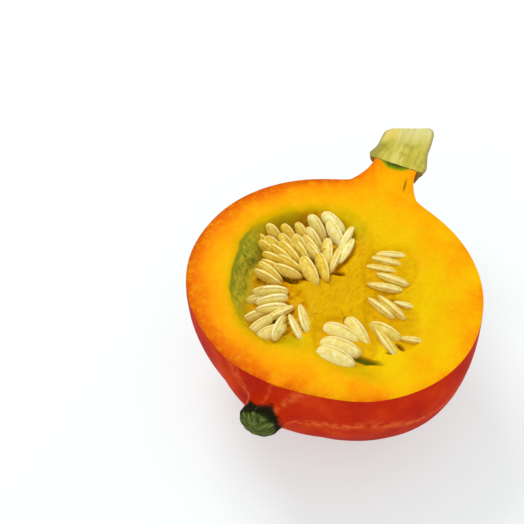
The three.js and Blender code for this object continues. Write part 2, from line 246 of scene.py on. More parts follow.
# Fibres of pulp. A pair is a middle value and a spread.
FIBRE_DRAW = 100  # how far the fibres' draw starts from that of their seeds
FIBRE_BEGINS = 8  # spread of their beginnings round a seed
FIBRE_HEIGHT = (1, 1.5)
FIBRE_SPAN = 9  # the longest between two seeds
FIBRE_AIM = (-6, -14)  # the place in the middle of the pulp that others run towards
FIBRE_AIM_SPREAD = 16
FIBRE_REACH = (6, 3)
FIBRE_END_HEIGHT = 0.1
FIBRE_ASIDE = 7
FIBRE_LIFT = (-0.5, 1)
FIBRE_RADIUS = (0.22, 0.16)

# How finely the meshes are divided.
TIP_RINGS = 70
BODY_RINGS = 205
TIP_UNTIL = -62
RIND_COLUMNS = 118
CUT_COLUMNS = 190
STEM_RINGS = 60
STEM_COLUMNS = 96
STEM_CUT_COLUMNS = 48
SEED_RINGS = 16
SEED_SIDES = 32
FIBRE_STEPS = 12
FIBRE_SIDES = 6
FIT_SIDES = 720  # for finding how wide the fruit is
DISTANCE_PARTS = 40  # distances are worked out in so many parts, to save memory
SHARP_ANGLE = 60  # edges that turn more, in degrees, stay sharp

# Relief of the cut face: heights, sizes of the lumps, and a layer of the noise for each kind.
KNIFE_WAVES = 0.16
KNIFE_WAVE_SIZE = 7
KNIFE_WAVE_LAYER = 3
SMOOTH_RIM = 3  # the waves fade out over this width
PULP_LUMPS = 0.32
PULP_LUMP_SIZE = 2.2
PULP_LUMP_LAYER = 11
PULP_BEGINS = (16, 30)  # its lumps come in between these distances from the rim
FLOOR_LUMPS = 1.1
FLOOR_LUMP_SIZE = 3.2
FLOOR_LUMP_LAYER = 7
FLOOR_LUMP_SHARE = 0.4  # the lumps are never higher than this share of the floor's depth
HOLLOW_WOBBLE = 0.05  # as a share of the hollow's size
HOLLOW_WOBBLE_SIZE = 9
HOLLOW_WOBBLE_LAYER = 0
WALL_SLOPE = 1.25
LIP = 2.5
LIP_REACH = (1.15, 0.9)  # the lip is rounded between these reaches from a hollow's middle
SWELL_RANGE = (-24, -4)  # the floors swell over this stretch of x
DEEP_BED = -5  # only hollows deeper than this have a coloured wall
MARK_LIMIT = 20  # the largest depth and distance that the colours need

# Relief of the outside.
RIND_INSET = 0.06
RIND_DENTS = 0.22
RIND_DENT_SIZE = 14
RELIEF_MARGIN = 6  # the dents fade out this near to the cut face and to the flat spot below
KNOBS = 0.25
KNOB_SIZE = 3.2
KNOBS_FROM = (-74, -78)
GROOVES_FROM = (-70, -77)
BUTTON_GROOVES = 11
BUTTON_GROOVE_DEPTH = 0.03
BUTTON_UNEVENNESS = 1.3

# Relief of the stem.
STEM_LUMPS = 0.035  # as a share of its radius
STEM_LUMPS_ROUND = 2.2  # its radius, measured in lumps
STEM_LUMPS_ALONG = 0.05  # how many lumps there are in a millimetre of its length
STEM_CUT_RELIEF = 0.35
STEM_CUT_LUMP_SIZE = 1.6
STEM_CUT_STRETCH = 0.2  # below 1, the lumps are drawn out along the stem
STEM_CUT_LAYER = 5
STEM_CUT_TOP = 0.2  # the cut face of the stem rises no higher

# Slits in the pulp between the seeds, with their half lengths and half widths.
SLIT_DEPTH = 1.6
SLIT_EDGE = (0.4, 1.3)  # they fade out between these reaches from their middles
BROWN_SLITS = [
    dict(at=(-19.5, -12.2), heading=-12, axes=(4.6, 1.3)),
    dict(at=(-1.6, -2.6), heading=4, axes=(3.6, 1.3)),
    dict(at=(12, -25.5), heading=-35, axes=(2.8, 0.9)),
    dict(at=(36.3, -33.8), heading=20, axes=(2.2, 0.8)),
    dict(at=(38.8, -28.6), heading=-28, axes=(2.8, 0.9)),
    dict(at=(27, -7), heading=10, axes=(7, 0.9)),
]
GREEN_SLITS = [
    dict(at=(27, -41.6), heading=3, axes=(8.5, 1.7)),
]

# Soft green shade on the flesh below the seeds in front, and the green streak in the neck.
GREEN_PATCHES = [
    dict(at=(20, -47), heading=-6, axes=(18, 5.5)),
    dict(at=(-12, -45), heading=-4, axes=(15, 4.5)),
    dict(at=(-6, 25), heading=-30, axes=(12, 6)),
]
GREEN_STREAKS = [
    dict(at=(8.3, 56), heading=-80, axes=(4.2, 0.7)),
]
STREAK_STRENGTH = 0.7

# Marks of the rind, at places along the fruit.
RIND_LINES = 11  # twice the number of pale lines round a whole fruit
RING_EDGE = (-70.0, -72.4)
SCAR_EDGE = (-76.4, -78.4)
SCAR_RIBS = 24

# The photograph's viewpoint.
VIEW_AZIMUTH = 23.17
VIEW_ELEVATION = 54.5
VIEW_DISTANCE = 1000
VIEW_AIM = (-36.01, -10.88, 0)
FOCAL_PIXELS = 2185.2
PHOTO_PIXELS = 524
SENSOR = 36
FARTHEST_SEEN = 10  # in metres

# The studio: a pale floor, white light all round, and two soft square lamps, in metres and watts.
FLOOR_SIZE = 3.0
SURROUNDING_LIGHT = 0.7
LAMPS = [
    dict(name="key", at=(-0.55, 0.35, 0.95), size=0.5, power=5.4),
    dict(name="fill", at=(0.5, -0.75, 0.7), size=0.7, power=1.2),
]


def ease(a, b, x):
    """Goes smoothly from 0 at a to 1 at b, also where b is the smaller of the two."""
    t = np.clip((x - a) / (b - a), 0, 1)
    return t * t * (3 - 2 * t)


def mix(a, b, t):
    return a + (b - a) * t


def soft_max(a, b, blend=BLEND):
    """The larger of two lengths, with the corner between them rounded."""
    return (a + b + np.hypot(a - b, blend)) / 2


def bumps(x, y, z, size, octaves=3):
    """Noise from about -1 to 1 with lumps of a size in millimetres."""
    spots = np.stack(np.broadcast_arrays(x, y, z), -1).reshape(-1, 3) / size
    values = [
        noise.fractal(Vector(spot), NOISE_WEAKER, NOISE_FINER, octaves) for spot in spots.tolist()
    ]
    return np.array(values).reshape(np.broadcast(x, y, z).shape)


def random_from(start):
    """A random draw between -0.5 and 0.5 that gives the same numbers on every run."""
    state = start

    def draw():
        nonlocal state
        state = (state * DRAW_FACTOR + DRAW_STEP) % DRAW_RANGE
        return state / DRAW_RANGE - 0.5

    return draw


# Making meshes

def tube_faces(index):
    """Faces between closed rings of vertices, and the column of each face."""
    after = np.roll(index, -1, axis=1)
    quads = np.stack([index[:-1], after[:-1], after[1:], index[1:]], -1)
    columns = np.broadcast_to(np.arange(index.shape[1]), quads.shape[:2]).reshape(-1)
    faces, kept = [], []
    for quad, column in zip(quads.reshape(-1, 4).tolist(), columns.tolist()):
        face = [v for k, v in enumerate(quad) if v != quad[k - 1]]
        if len(face) > 2:
            faces.append(face)
            kept.append(column)
    return faces, np.array(kept)


def end_caps(points, index):
    """Closes the first and last rings with fans round their middles, which join the points."""
    caps = []
    for ring, order in ((index[0], -1), (index[-1], 1)):
        middle = len(points)
        points = np.concatenate([points, points[ring].mean(0)[None]])
        loop = list(dict.fromkeys(ring.tolist()))[::order]
        caps += [[middle, a, b] for a, b in zip(loop, loop[1:] + loop[:1])]
    return points, caps


def make_piece(name, points, faces, materials, face_materials=None, values=None):
    """A mesh in the frame, made from points in fruit coordinates, that rides on the body."""
    used, renumbered = np.unique(np.concatenate([np.array(f) for f in faces]), return_inverse=True)
    ends = np.cumsum([len(f) for f in faces])[:-1]
    faces = [part.tolist() for part in np.split(renumbered, ends)]
    mesh = bpy.data.meshes.new(name)
    mesh.from_pydata(((points[used] + SHIFT) * MM).tolist(), [], faces)
    for material in materials:
        mesh.materials.append(material)
    if face_materials is not None:
        mesh.polygons.foreach_set("material_index", face_materials.astype(np.int32))
    for key, value in (values or {}).items():
        layer = mesh.attributes.new(key, "FLOAT", "POINT")
        layer.data.foreach_set("value", value.reshape(-1)[used].astype(np.float32))
    mesh.shade_smooth()
    mesh.set_sharp_from_angle(angle=math.radians(SHARP_ANGLE))
    mesh.update()
    piece = bpy.data.objects.new(name, mesh)
    bpy.context.scene.collection.objects.link(piece)
    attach(piece, "root")
    return piece


# The fruit's outside

def girth(y):
    """Half the width of the fruit at a place along it."""
    side = np.where(y > WIDEST, TO_NECK, TO_BLOSSOM)
    bulb = HALF_WIDTH * np.sqrt(np.maximum(0, 1 - ((y - WIDEST) / side) ** 2))
    along = np.clip((NECK_END - y) / NECK_LENGTH, 0, 1)
    neck = (NECK_RADIUS + NECK_FLARE * along**2) * ease(WIDEST, WIDEST + NECK_LENGTH, y)
    tip = np.clip((BUTTON_START - y) / (BUTTON_START - BUTTON_END), 0, 1)
    foot = np.clip((y - BUTTON_START) / (BUTTON_FOOT - BUTTON_START), 0, 1)
    button = BUTTON_RADIUS * np.sqrt(1 - tip**2) + BUTTON_FLARE * foot**2
    button = button * ease(WIDEST, BUTTON_FOOT, y)
    return np.where(y > WIDEST, soft_max(bulb, neck), soft_max(bulb, button))


def core_depth(y):
    """How deep the fruit's core line lies below the cut face."""
    core = mix(NECK_AXIS_DEPTH, AXIS_DEPTH, ease(*DEEPENING, y))
    return mix(core, BUTTON_DEPTH, ease(*BEND_DOWN, y))


def flatness(y):
    return mix(ROUNDNESS, 1, np.maximum(ease(*NECK_ROUNDING, y), ease(*BEND_DOWN, y)))


def bend_fruit(x, y, z):
    """Leans the underside and sets the button aside."""
    ends = ease(*LEAN_START, y) * ease(*LEAN_END, y)
    lean = LEAN * mix(1, BACK_LEAN, ease(*LEAN_TURN, y)) * ends
    x = x + BUTTON_SIDE * ease(*BEND_ASIDE, y) + lean * np.maximum(0, -z)
    return np.stack([x, y, z], -1)


def fruit_stations():
    """Places along the fruit, crowded at its two ends."""
    t = np.linspace(0, 1, TIP_RINGS, endpoint=False)
    tip = mix(BUTTON_END, TIP_UNTIL, 1 - np.cos(t * math.pi / 2))
    return np.concatenate([tip, np.linspace(TIP_UNTIL, NECK_END, BODY_RINGS)])


# The cut face

def hollow_reach(hollow, x, y):
    """0 at the middle of a hollow and 1 on its edge."""
    turn = math.radians(hollow["heading"])
    dx = x - hollow["at"][0]
    dy = y - hollow["at"][1]
    along = (dx * math.cos(turn) + dy * math.sin(turn)) / hollow["axes"][0]
    across = (dy * math.cos(turn) - dx * math.sin(turn)) / hollow["axes"][1]
    return np.hypot(along, across)


def bed_height(bunch, x):
    return bunch["bed"] + bunch["slope"] * (x - bunch["hollows"][0]["at"][0])


def slit_mask(slits, x, y):
    """1 inside the slits, falling to 0 just outside them."""
    masks = [1 - ease(*SLIT_EDGE, hollow_reach(slit, x, y)) for slit in slits]
    return np.max(masks, axis=0)


def cut_relief(x, y, from_rim):
    """Heights of the cut face, and the masks that colour it."""
    wobble = 1 + HOLLOW_WOBBLE * bumps(x, y, HOLLOW_WOBBLE_LAYER, HOLLOW_WOBBLE_SIZE)
    lumps = bumps(x, y, FLOOR_LUMP_LAYER, FLOOR_LUMP_SIZE)
    inside = ease(0, SMOOTH_RIM, from_rim)
    height = KNIFE_WAVES * bumps(x, y, KNIFE_WAVE_LAYER, KNIFE_WAVE_SIZE) * inside
    pulp = PULP_LUMPS * bumps(x, y, PULP_LUMP_LAYER, PULP_LUMP_SIZE)
    height = height + pulp * ease(*PULP_BEGINS, from_rim)
    edge = np.full(x.shape, float(MARK_LIMIT))
    for bunch in BUNCHES:
        swell = bunch["swell"] * ease(*SWELL_RANGE, x)
        floor = bed_height(bunch, x) + bunch["rise"] + swell
        floor = floor + lumps * np.minimum(FLOOR_LUMPS, FLOOR_LUMP_SHARE * np.abs(floor))
        for hollow in bunch["hollows"]:
            reach = hollow_reach(hollow, x, y) * wobble
            wall = -hollow["depth"] * np.clip(1 - reach**2, 0, 1) ** WALL_SLOPE
            lip = LIP * ease(*LIP_REACH, reach)
            inner = -soft_max(-height, -np.maximum(floor, wall), lip)
            height = np.where(reach < LIP_REACH[0], inner, height)
            if bunch["bed"] < DEEP_BED:
                edge = np.minimum(edge, (reach - 1) * min(hollow["axes"]))
    brown = slit_mask(BROWN_SLITS, x, y)
    green = slit_mask(GREEN_SLITS, x, y)
    height = height - SLIT_DEPTH * np.maximum(brown, green)
    green = np.maximum(green, STREAK_STRENGTH * slit_mask(GREEN_STREAKS, x, y))
    shade = slit_mask(GREEN_PATCHES, x, y)
    return height, edge, brown, green, shade


def build_fruit(materials):
    """Rind, flesh and firm pulp in one piece: rings run under the fruit and back over the cut."""
    y = fruit_stations()[:, None]
    radius = girth(y)
    tall = radius * flatness(y)
    drop = core_depth(y)
    # The first rings lie wholly below the cut, so they are closed and have no part in its face.
    whole = drop >= tall
    start = np.where(whole, math.pi / 2, np.arcsin(np.clip(drop / tall, 0, 1)))
    sweep = np.linspace(0, 1, RIND_COLUMNS)[None]
    turn = start - sweep * (math.pi + 2 * start)
    uneven = BUTTON_UNEVENNESS * np.sin(2 * turn)
    grooved = ease(*GROOVES_FROM, y)
    groove = 1 + grooved * BUTTON_GROOVE_DEPTH * np.cos(BUTTON_GROOVES * turn + uneven)
    x = radius * groove * np.cos(turn)
    z = np.maximum(tall * groove * np.sin(turn) - drop, -REST_DEPTH)
    rind = bend_fruit(x, np.broadcast_to(y, x.shape), z)
    rind[..., 2] = np.minimum(rind[..., 2], 0)
    rind = roughen(rind, y, turn)

    share = np.linspace(0, 1, CUT_COLUMNS + 2)[1:-1][None]
    left, right = rind[:, -1:], rind[:, :1]
    cut = mix(left, right, share[..., None])
    open_rings = ~whole[:, 0]
    rim = np.concatenate([left[open_rings, 0], right[open_rings, 0]])
    from_rim = nearest(cut[..., :2], rim[:, :2])
    height, edge, brown, green, shade = cut_relief(cut[..., 0], cut[..., 1], from_rim)
    cut[..., 2] = np.where(whole, cut[..., 2], height)

    points = np.concatenate([rind, cut], 1)
    rings, columns = points.shape[:2]
    index = np.arange(rings * columns).reshape(rings, columns)
    index[whole[:, 0], RIND_COLUMNS - 1 :] = index[whole[:, 0], :1]
    faces, column = tube_faces(index)
    is_cut = column >= RIND_COLUMNS - 1

    points, caps = end_caps(points.reshape(-1, 3), index)
    face_materials = np.concatenate([is_cut, np.zeros(len(caps))])

    def spread(rind_value, cut_value):
        rind_value = np.broadcast_to(rind_value, rind.shape[:2])
        cut_value = np.broadcast_to(cut_value, cut.shape[:2])
        both = np.concatenate([rind_value, cut_value], 1)
        return np.append(both.reshape(-1), [both[0, 0], both[-1, 0]])

    values = {
        "along": spread(y, y),
        "turn": spread(turn / (2 * math.pi), 0),
        "from_rim": spread(0, from_rim),
        "hollow_edge": spread(MARK_LIMIT, np.clip(edge, -MARK_LIMIT, MARK_LIMIT)),
        "depth": spread(0, np.clip(-height, 0, MARK_LIMIT)),
        "brown": spread(0, brown),
        "green": spread(0, green),
        "shade": spread(0, shade),
    }
    piece = make_piece(
        "squash_half", points, faces + caps, materials, face_materials, values
    )
    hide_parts("fruit_half")
    return piece


def roughen(rind, y, turn):
    """Faint dents all over the rind, and a knobbly end of the button."""
    x, along, z = rind[..., 0], rind[..., 1], rind[..., 2]
    away = np.stack([np.cos(turn), 0 * turn, np.sin(turn)], -1)
    free = ease(0, -RELIEF_MARGIN, z) * ease(-REST_DEPTH, -REST_DEPTH + RELIEF_MARGIN, z)
    dents = RIND_DENTS * np.abs(bumps(x, along, z, RIND_DENT_SIZE, 2))
    dents = -(RIND_INSET + dents) * free
    knobs = -KNOBS * np.abs(bumps(x, along, z, KNOB_SIZE)) * ease(*KNOBS_FROM, y)
    return rind + away * (dents + knobs)[..., None]


def nearest(points, edge):
    """Distance from each point to the nearest point of an edge."""
    flat = points.reshape(-1, 2)
    found = [
        np.sqrt(((part[:, None] - edge[None]) ** 2).sum(-1)).min(1)
        for part in np.array_split(flat, DISTANCE_PARTS)
    ]
    return np.concatenate(found).reshape(points.shape[:-1])


# The stem

def stem_radius(up):
    lower = mix(STEM_FOOT, STEM_WAIST, ease(0, WAIST_AT, up))
    side = mix(lower, STEM_TOP, ease(*ABOVE_WAIST, up))
    rounded = np.sqrt(np.maximum(0, 1 - ease(*TOP_ROUNDING, up) ** 2))
    return side * mix(FOOT_EDGE, 1, ease(0, FOOT_FULL, up)) * rounded


def build_stem(materials):
    """A ribbed corky stalk with a flared foot, split by the same cut."""
    up = (1 - np.cos(np.linspace(0, math.pi, STEM_RINGS)))[:, None] / 2
    y = mix(STEM_START, STEM_END, up)
    radius = stem_radius(up)
    start = np.arcsin(NECK_AXIS_DEPTH / radius)
    turn = start - np.linspace(0, 1, STEM_COLUMNS)[None] * (math.pi + 2 * start)
    rib = 1 + STEM_RIB_DEPTH * np.cos(STEM_RIBS * turn)
    aside = STEM_LUMPS_ROUND * np.cos(turn)
    below = STEM_LUMPS_ROUND * np.sin(turn)
    rib = rib + STEM_LUMPS * bumps(aside, STEM_LUMPS_ALONG * y, below, 1)
    x = radius * rib * np.cos(turn)
    z = np.minimum(radius * rib * np.sin(turn) - NECK_AXIS_DEPTH, 0)
    z[:, [0, -1]] = 0
    skin = np.stack([x, np.broadcast_to(y, x.shape), z], -1)
    share = np.linspace(0, 1, STEM_CUT_COLUMNS + 2)[1:-1][None, :, None]
    cut = mix(skin[:, -1:], skin[:, :1], share)
    inner = np.sin(math.pi * share[..., 0])
    stretched = STEM_CUT_STRETCH * cut[..., 1]
    relief = bumps(cut[..., 0], stretched, STEM_CUT_LAYER, STEM_CUT_LUMP_SIZE)
    cut[..., 2] = np.minimum(STEM_CUT_RELIEF * relief * inner**0.5, STEM_CUT_TOP)
    points = np.concatenate([skin, cut], 1)
    lift = np.broadcast_to(up, points.shape[:2])
    points[..., 1] += points[..., 0] * STEM_TOP_TILT * lift
    points[..., 0] += STEM_LEAN * (points[..., 1] - STEM_START)

    rings, columns = points.shape[:2]
    index = np.arange(rings * columns).reshape(rings, columns)
    faces, column = tube_faces(index)
    is_cut = column >= STEM_COLUMNS - 1
    points, caps = end_caps(points.reshape(-1, 3), index)
    rises = np.append(np.broadcast_to(up, (rings, columns)).reshape(-1), [0, 1])
    skin_across = np.broadcast_to(np.cos(turn), skin.shape[:2])
    cut_across = np.broadcast_to(mix(-1, 1, share[..., 0]), cut.shape[:2])
    across = np.concatenate([skin_across, cut_across], 1)
    values = {"up": rises, "across": np.append(across.reshape(-1), [0, 0])}
    face_materials = np.concatenate([is_cut, np.zeros(len(caps))])
    piece = make_piece("stem", points, faces + caps, materials, face_materials, values)
    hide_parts("stem_half")
    return piece


# The seeds

def seed_shape():
    """Points of one seed, as rings from end to end, and how near each is to the seed's edge."""
    t = (1 - np.cos(np.linspace(0, math.pi, SEED_RINGS)))[:, None] / 2
    turn = np.linspace(0, 2 * math.pi, SEED_SIDES, endpoint=False)[None]
    body = np.sin(math.pi * t**SEED_TAPER)
    body[[0, -1]] = 0
    to_edge = np.abs(np.cos(turn))
    groove = 1 - GROOVE_DEPTH * np.exp(-(((to_edge - GROOVE_AT) / GROOVE_WIDTH) ** 2))
    x = body**SEED_FULLNESS * SEED_WIDTH / 2 * np.cos(turn)
    z = body**SEED_FULLNESS * SEED_THICKNESS / 2 * np.sin(turn) * groove
    y = (t - 0.5) * SEED_LENGTH * np.ones_like(turn)
    return np.stack([x, y, z], -1), np.broadcast_to(to_edge, x.shape)


def turned(points, heading, pitch, roll):
    """Points turned about y by roll, then about x by pitch, then about z by heading."""
    for angle, a, b in ((roll, 2, 0), (pitch, 1, 2), (heading, 0, 1)):
        c, s = math.cos(math.radians(angle)), math.sin(math.radians(angle))
        points = points.copy()
        first, second = points[..., a].copy(), points[..., b].copy()
        points[..., a] = c * first - s * second
        points[..., b] = s * first + c * second
    return points


def seed_places(bunch):
    """Place, angles and size of every seed of a bunch, drawn as for the solids."""
    draw = random_from(bunch["start"])
    for row in bunch["rows"]:
        (x0, y0), (x1, y1) = row["line"]
        for i in range(row["count"]):
            t = i / (row["count"] - 1)
            x = mix(x0, x1, t) + PLACE_SPREAD * draw()
            y = mix(y0, y1, t) + PLACE_SPREAD * draw()
            heading = mix(*row["headings"], t) + HEADING_SPREAD * draw()
            pitch = row["pitch"] + PITCH_SPREAD * draw()
            roll = row["roll"] + ROLL_SPREAD * draw()
            size = row.get("size", 1) * (1 + SIZE_SPREAD * draw())
            z = bed_height(bunch, x) + row["lift"] + HEIGHT_SPREAD * draw()
            yield np.array([x, y, z]), heading, pitch, roll, size


def build_seeds(bunch, material):
    shape, to_edge = seed_shape()
    rings, sides = to_edge.shape
    index = np.arange(rings * sides).reshape(rings, sides)
    index[0] = index[0, 0]
    index[-1] = index[-1, 0]
    seed_faces, _ = tube_faces(index)
    points, faces, tones, edges, ends = [], [], [], [], []
    for n, (place, heading, pitch, roll, size) in enumerate(seed_places(bunch)):
        apart = shape[..., 2] + SEED_NOISE_STEP * n
        dents = bumps(shape[..., 0], shape[..., 1], apart, SEED_DENT_SIZE, 2)
        own = shape * (SEED_SCALE - SEED_DENTS * np.abs(dents[..., None]))
        own = turned(own * size, heading + 90, pitch, roll) + place
        points.append(own.reshape(-1, 3))
        faces += [[v + n * rings * sides for v in face] for face in seed_faces]
        patch = noise.noise(Vector((place / TONE_PATCH).tolist()))
        creamy = ease(*CREAMY_FROM, place[1] + CREAM_SLOPE * place[0])
        tone = bunch["tone"] + TONE_SPREAD * patch + bunch.get("cream", 0) * creamy
        tones.append(np.full(rings * sides, tone))
        edges.append(to_edge.reshape(-1))
        ends.append(shape[..., 1].reshape(-1) / SEED_LENGTH + 0.5)
    values = {
        "tone": np.concatenate(tones),
        "to_edge": np.concatenate(edges),
        "lengthwise": np.concatenate(ends),
    }
    piece = make_piece(
        "seeds_" + bunch["name"], np.concatenate(points), faces, [material], None, values
    )
    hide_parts("seed_bunch_" + bunch["name"])
    return piece


# Fibres of pulp

def fibre(start, end, sag, thickness):
    """A curved tube between two points that thins towards both ends."""
    t = np.linspace(0, 1, FIBRE_STEPS)[:, None]
    middle = (start + end) / 2 + sag
    line = start * (1 - t) ** 2 + middle * 2 * t * (1 - t) + end * t**2
    along = np.gradient(line, axis=0)
    along /= np.linalg.norm(along, axis=1, keepdims=True)
    side = np.cross(along, (0.0, 0.0, 1.0))
    side /= np.linalg.norm(side, axis=1, keepdims=True)
    over = np.cross(side, along)
    turn = np.linspace(0, 2 * math.pi, FIBRE_SIDES, endpoint=False)[None, :, None]
    radius = thickness * np.sin(math.pi * t)[:, None] ** 0.5
    radius[[0, -1]] = 0
    ring = side[:, None] * np.cos(turn) + over[:, None] * np.sin(turn)
    return line[:, None] + ring * radius


def build_fibres(bunch, material):
    """Fibres between the seeds, and from the seeds over the pulp towards the fruit's middle."""
    draw = random_from(bunch["start"] + FIBRE_DRAW)

    def around(pair):
        return pair[0] + pair[1] * draw()

    places = [place for place, *_ in seed_places(bunch)]
    index = np.arange(FIBRE_STEPS * FIBRE_SIDES).reshape(FIBRE_STEPS, FIBRE_SIDES)
    index[0] = index[0, 0]
    index[-1] = index[-1, 0]
    fibre_faces, _ = tube_faces(index)
    points, faces, tints = [], [], []
    for n in range(bunch["fibres"]):
        seed = places[int((draw() + 0.5) * len(places))]
        offset = [FIBRE_BEGINS * draw(), FIBRE_BEGINS * draw(), around(FIBRE_HEIGHT)]
        begin = seed + np.array(offset)
        if n % 2:
            other = places[int((draw() + 0.5) * len(places))]
            way = other - seed
            end = begin + way * min(1, FIBRE_SPAN / max(1, np.linalg.norm(way)))
        else:
            stray = np.array([FIBRE_AIM_SPREAD * draw(), FIBRE_AIM_SPREAD * draw()])
            way = np.array(FIBRE_AIM) - begin[:2] + stray
            flat_end = begin[:2] + way / np.linalg.norm(way) * around(FIBRE_REACH)
            end = np.append(flat_end, FIBRE_END_HEIGHT)
        sag = np.array([FIBRE_ASIDE * draw(), FIBRE_ASIDE * draw(), around(FIBRE_LIFT)])
        points.append(fibre(begin, end, sag, around(FIBRE_RADIUS)).reshape(-1, 3))
        faces += [[v + n * index.size for v in face] for face in fibre_faces]
        tints.append(np.full(index.size, bunch["green"] * (draw() + 0.5)))
    return make_piece(
        "pulp_fibres_" + bunch["name"], np.concatenate(points), faces, [material],
        None, {"tint": np.concatenate(tints)},
    )


# Materials

def linear(colour, alpha=1.0):
    """A colour written as six hexadecimal digits, as the shader needs it."""
    parts = [int(colour[i : i + 2], 16) / 255 for i in (1, 3, 5)]
    curve = [p / 12.92 if p <= 0.04045 else ((p + 0.055) / 1.055) ** 2.4 for p in parts]
    return (*curve, alpha)


class Shader:
    """A node material with short ways to add what the materials here share."""

    def __init__(self, name):
        self.material = bpy.data.materials.new(name)
        self.material.use_nodes = True
        self.tree = self.material.node_tree
        self.surface = self.tree.nodes["Principled BSDF"]

    def add(self, kind, inputs=None, **settings):
        made = self.tree.nodes.new("ShaderNode" + kind)
        for key, value in settings.items():
            setattr(made, key, value)
        self.feed(made, inputs or {})
        return made

    def feed(self, made, inputs):
        for key, value in inputs.items():
            if isinstance(value, bpy.types.NodeSocket):
                self.tree.links.new(value, made.inputs[key])
            else:
                made.inputs[key].default_value = value

    def value(self, name):
        return self.add("Attribute", attribute_name=name).outputs["Fac"]

    def place(self, stretch=(1, 1, 1)):
        """Object coordinates in millimetres, stretched."""
        where = self.add("TexCoord").outputs["Object"]
        scale = tuple(s / MM for s in stretch)
        return self.add("VectorMath", {0: where, 1: scale}, operation="MULTIPLY").outputs[0]

    def noise(self, where, size, detail=3.0, roughness=0.55, distortion=0.0):
        settings = {
            "Vector": where, "Scale": 1 / size, "Detail": detail,
            "Roughness": roughness, "Distortion": distortion,
        }
        return self.add("TexNoise", settings).outputs["Fac"]

    def cells(self, where, size, feature="F1"):
        found = self.add("TexVoronoi", {"Vector": where, "Scale": 1 / size}, feature=feature)
        return found.outputs["Distance"]

    def sum(self, a, b):
        return self.add("Math", {0: a, 1: b}, operation="ADD").outputs[0]

    def times(self, a, b):
        return self.add("Math", {0: a, 1: b}, operation="MULTIPLY").outputs[0]

    def larger(self, a, b):
        return self.add("Math", {0: a, 1: b}, operation="MAXIMUM").outputs[0]

    def between(self, value, low, high, to_low=0.0, to_high=1.0):
        """The value's place between low and high, smoothly, as a number from to_low to to_high."""
        inputs = {0: value, 1: low, 2: high, 3: to_low, 4: to_high}
        return self.add("MapRange", inputs, interpolation_type="SMOOTHSTEP").outputs[0]

    def ramp(self, value, stops):
        made = self.add("ValToRGB", {0: value})
        stock = made.color_ramp.elements
        while len(stock) < len(stops):
            stock.new(0.5)
        for element, (at, colour) in zip(stock, stops):
            element.position = at
            element.color = linear(colour)
        return made.outputs[0]

    def blend(self, share, a, b, kind="MIX"):
        made = self.add("Mix", data_type="RGBA", blend_type=kind)
        self.feed(made, {0: share, 6: a, 7: b})
        return made.outputs[2]

    def finish(self, colour, height=None, distance=0.1, roughness=0.5, **others):
        inputs = {"Base Color": colour, "Roughness": roughness}
        if height is not None:
            bump = self.add("Bump", {"Height": height, "Distance": distance * MM})
            inputs["Normal"] = bump.outputs[0]
        for key, value in others.items():
            inputs[key.replace("_", " ")] = value
        self.feed(self.surface, inputs)
        return self.material


def rind_material():
    """Glossy red-orange skin with paler lines from the button, which is green in a dark ring."""
    s = Shader("rind")
    where = s.place()
    along = s.value("along")
    turn = s.value("turn")
    cloud = s.noise(where, 26, 2.0)
    fine = s.noise(where, 2.2, 4.0, 0.65)
    skin = s.ramp(cloud, [(0.3, "#B41800"), (0.5, "#C82900"), (0.68, "#DC4400")])
    # Painted shade: the skin is darkened to deep red towards the floor, below 64 mm height.
    low = s.add("SeparateXYZ", {0: where}).outputs[2]
    skin = s.blend(s.between(low, 10.0, 64.0, 0.7, 0.0), skin, linear("#920E00"))
    skin = s.blend(s.between(fine, 0.5, 0.8, 0.0, 0.3), skin, linear("#E85400"))

    # Paler lines run from the button towards the stem.
    shaken = s.sum(s.times(turn, RIND_LINES), s.times(s.noise(where, 30, 1.0), 0.8))
    saw = s.add("Math", {0: shaken, 1: 1.0}, operation="PINGPONG").outputs[0]
    streaky = s.noise(s.place((1, 0.12, 1)), 3.0, 3.0)
    width = s.between(along, -40.0, -70.0, 0.15, 0.4)
    line = s.times(s.between(saw, width, 0.0), s.between(streaky, 0.35, 0.6))
    line = s.times(line, s.between(along, 10.0, -60.0, 0.2, 0.6))
    skin = s.blend(line, skin, linear("#EC6C2C"))

    # The dark ring round the button, with a ragged edge, and the green ribbed scar at its end.
    ragged = s.sum(along, s.times(s.noise(where, 6.0, 3.0, 0.6), 7.0))
    ring = s.between(ragged, *RING_EDGE)
    dark = s.blend(fine, linear("#0A0D04"), linear("#26240F"))
    skin = s.blend(ring, skin, dark)
    fan = s.add("CombineXYZ", {0: s.times(turn, SCAR_RIBS), 1: s.times(along, 0.3)}).outputs[0]
    # The paler grey-green streaks on the scar are partly its own streaks and partly painted
    # highlights.
    wet = s.noise(fan, 1.0, 4.0, 0.6, 0.5)
    moss = s.ramp(wet, [(0.32, "#1A2208"), (0.5, "#46541C"), (0.68, "#808A46")])
    tip = s.between(s.sum(along, s.times(s.noise(where, 2.5), 3.0)), *SCAR_EDGE)
    skin = s.blend(tip, skin, moss)

    pits = s.cells(where, 1.7)
    height = s.sum(s.times(fine, 0.5), s.times(s.between(pits, 0.0, 0.45), 0.5))
    rough = s.sum(s.times(fine, 0.16), s.times(ring, 0.25))
    rough = s.sum(rough, 0.2)
    return s.finish(
        skin, height, 0.09, rough,
        Specular_IOR_Level=0.0, Coat_Weight=0.1, Coat_Roughness=0.2,
    )


